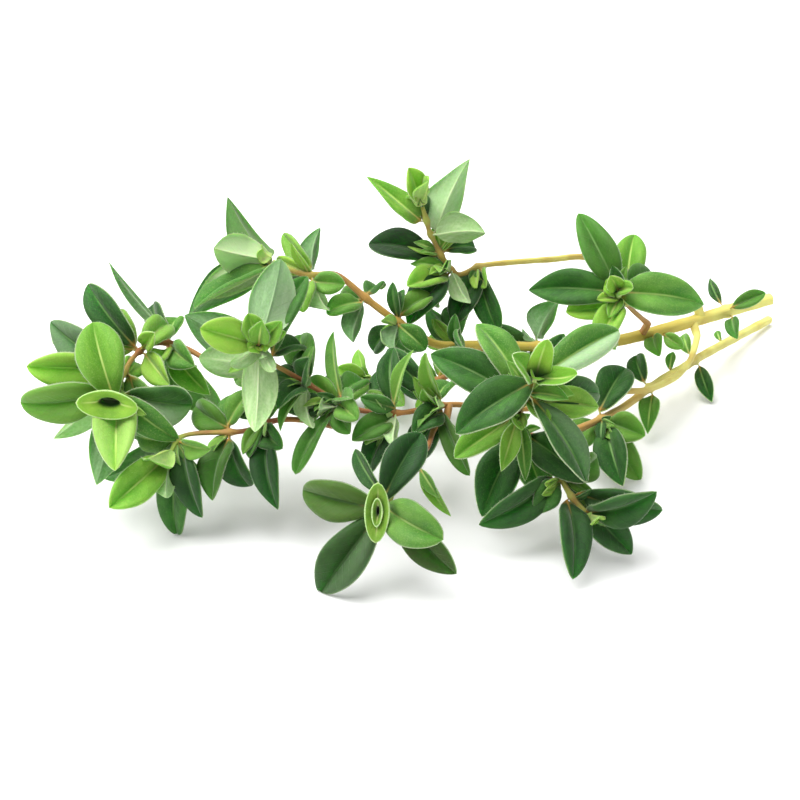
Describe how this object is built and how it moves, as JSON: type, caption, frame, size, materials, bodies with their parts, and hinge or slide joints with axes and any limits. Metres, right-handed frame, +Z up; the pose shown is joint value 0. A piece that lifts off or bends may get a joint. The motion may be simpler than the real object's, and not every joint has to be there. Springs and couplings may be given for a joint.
{
  "type": "thyme bundle",
  "caption": "Small bundle of cut thyme: leafy sprigs forking from two woody stems, lying loosely on a surface, held up on the tips of its own leaves.",
  "frame": {"origin": "middle of the bundle's footprint box, at the surface it lies on", "axes": "+Z up from the surface; +X along the bundle from its leafy end towards the cut ends of its stems"},
  "size_m": [0.1061, 0.0767, 0.0405],
  "materials": {
    "stem": "fine woody stem, golden to red-brown, green near the tips",
    "leaf_broad": "soft leaf, mid green, faintly hairy, paler midrib and rim",
    "leaf_dark": "soft leaf, deep green upper face, matt with a faint sheen",
    "leaf_young": "soft young leaf, bright yellow-green",
    "leaf_narrow": "soft leaf folded along its midrib, light green",
    "leaf_pale": "underside of a leaf, pale green and finely felted",
    "leaf_grey": "underside of a leaf in shade, grey-green and finely felted"
  },
  "bodies": {
    "root": {"back_stem": "stem", "back_tip": "leaf_young", "back_whorl_1": "leaf_dark", "back_whorl_2": "leaf_broad", "centre_stem": "stem", "centre_tip": "leaf_young", "centre_whorl_1": "leaf_broad", "centre_whorl_2": "leaf_dark", "centre_whorl_3": "leaf_young", "centre_whorl_4": "leaf_dark", "centre_whorl_5": "leaf_dark", "centre_whorl_6": "leaf_narrow", "centre_whorl_7": "leaf_dark", "front_stem": "stem", "front_tip": "leaf_young", "front_whorl_1": "leaf_broad", "front_whorl_2": "leaf_dark", "front_whorl_3": "leaf_narrow", "left_stem": "stem", "left_tip": "leaf_young", "left_whorl_1": "leaf_broad", "left_whorl_2": "leaf_dark", "left_whorl_3": "leaf_dark", "left_whorl_4": "leaf_grey", "lower_left_stem": "stem", "lower_left_tip": "leaf_young", "lower_left_whorl_1": "leaf_dark", "lower_left_whorl_2": "leaf_dark", "lower_left_whorl_3": "leaf_dark", "lower_right_stem": "stem", "lower_right_tip": "leaf_pale", "lower_right_whorl_1": "leaf_dark", "lower_right_whorl_2": "leaf_dark", "middle_stem": "stem", "middle_tip": "leaf_young", "middle_whorl_1": "leaf_pale", "middle_whorl_2": "leaf_grey", "middle_whorl_3": "leaf_broad", "middle_whorl_4": "leaf_dark", "middle_whorl_5": "leaf_narrow", "middle_whorl_6": "leaf_dark", "upper_left_stem": "stem", "upper_left_tip": "leaf_grey", "upper_left_whorl_1": "leaf_young", "upper_left_whorl_2": "leaf_broad", "upper_left_whorl_3": "leaf_grey", "upper_left_whorl_4": "leaf_dark", "upper_left_whorl_5": "leaf_grey", "upper_left_whorl_6": "leaf_dark", "upper_middle_stem": "stem", "upper_middle_tip": "leaf_young", "upper_middle_whorl_1": "leaf_young", "upper_middle_whorl_2": "leaf_pale", "upper_middle_whorl_3": "leaf_dark", "upper_middle_whorl_4": "leaf_young", "upper_middle_whorl_5": "leaf_dark", "upper_right_stem": "stem", "upper_right_tip": "leaf_young", "upper_right_whorl_1": "leaf_dark", "upper_right_whorl_2": "leaf_broad"}
  },
  "joints": []
}
